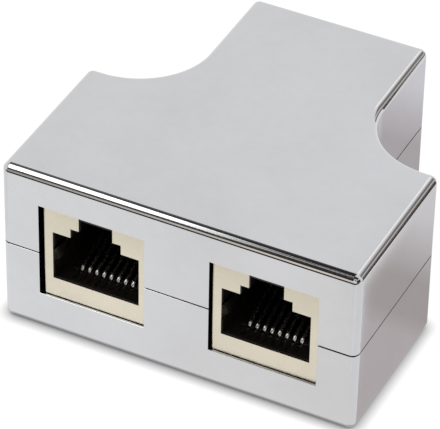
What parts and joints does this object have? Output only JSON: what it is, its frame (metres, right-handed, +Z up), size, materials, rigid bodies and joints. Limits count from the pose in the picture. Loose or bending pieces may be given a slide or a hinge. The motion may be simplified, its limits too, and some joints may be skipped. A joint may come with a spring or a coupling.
{
  "type": "ethernet t-adapter",
  "caption": "T-shaped network splitter in a metallised two-part casing, with shielded modular sockets side by side in the bar and one in the stem",
  "frame": {"origin": "middle of the casing's underside, on the face it rests on", "axes": "+Z up, -Y out of the two-socket face, +Y out of the single-socket face, +X to the right seen from the two-socket face"},
  "size_m": [0.0488, 0.047, 0.024],
  "materials": {
    "plated_casing": "bright metallised plating on moulded plastic, faintly smudged",
    "board_laminate": "green solder mask on glass-fibre laminate",
    "nickel_sheet": "satin nickel-plated brass sheet, faintly warm",
    "black_plastic": "moulded black plastic, fine sheen",
    "contact_wire": "gold-flashed spring bronze"
  },
  "bodies": {
    "root": {"lower_shell": "plated_casing", "upper_shell": "plated_casing", "circuit_board": "board_laminate", "left_shield": "nickel_sheet", "left_housing": "black_plastic", "left_contact_carrier": "black_plastic", "left_contact_1": "contact_wire", "left_contact_2": "contact_wire", "left_contact_3": "contact_wire", "left_contact_4": "contact_wire", "left_contact_5": "contact_wire", "left_contact_6": "contact_wire", "left_contact_7": "contact_wire", "left_contact_8": "contact_wire", "right_shield": "nickel_sheet", "right_housing": "black_plastic", "right_contact_carrier": "black_plastic", "right_contact_1": "contact_wire", "right_contact_2": "contact_wire", "right_contact_3": "contact_wire", "right_contact_4": "contact_wire", "right_contact_5": "contact_wire", "right_contact_6": "contact_wire", "right_contact_7": "contact_wire", "right_contact_8": "contact_wire", "rear_shield": "nickel_sheet", "rear_housing": "black_plastic", "rear_contact_carrier": "black_plastic", "rear_contact_1": "contact_wire", "rear_contact_2": "contact_wire", "rear_contact_3": "contact_wire", "rear_contact_4": "contact_wire", "rear_contact_5": "contact_wire", "rear_contact_6": "contact_wire", "rear_contact_7": "contact_wire", "rear_contact_8": "contact_wire"}
  },
  "joints": []
}
